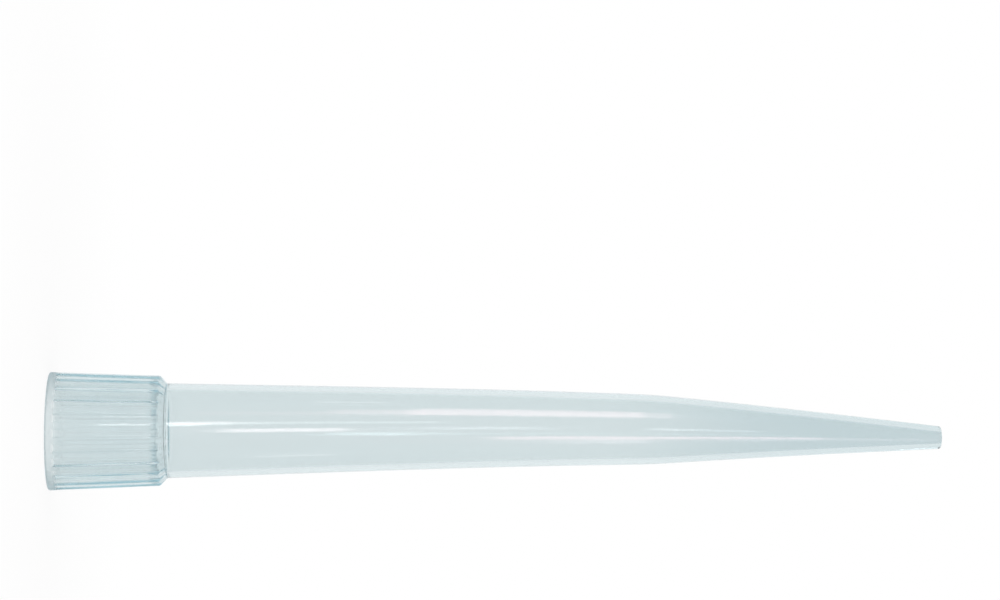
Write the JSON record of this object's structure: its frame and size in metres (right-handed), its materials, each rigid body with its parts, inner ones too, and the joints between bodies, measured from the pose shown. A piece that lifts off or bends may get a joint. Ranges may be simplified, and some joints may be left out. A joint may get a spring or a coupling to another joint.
{
  "type": "pipette tip",
  "caption": "Clear one-piece tapered pipette tip with a ribbed collar, a round socket for the pipette's nozzle and a fine open nose.",
  "frame": {"origin": "centre of the mouth, on the bench, with the tip standing on its mouth", "axes": "+Z along the tip's axis from the mouth to the nose, up; +X and -Y each pass through the middle of a hollow between two ribs"},
  "size_m": [0.0158, 0.0158, 0.12],
  "materials": {
    "clear_polypropylene": "clear, slightly milky moulded polypropylene, glossy"
  },
  "bodies": {
    "root": {"tip": "clear_polypropylene"}
  },
  "joints": []
}
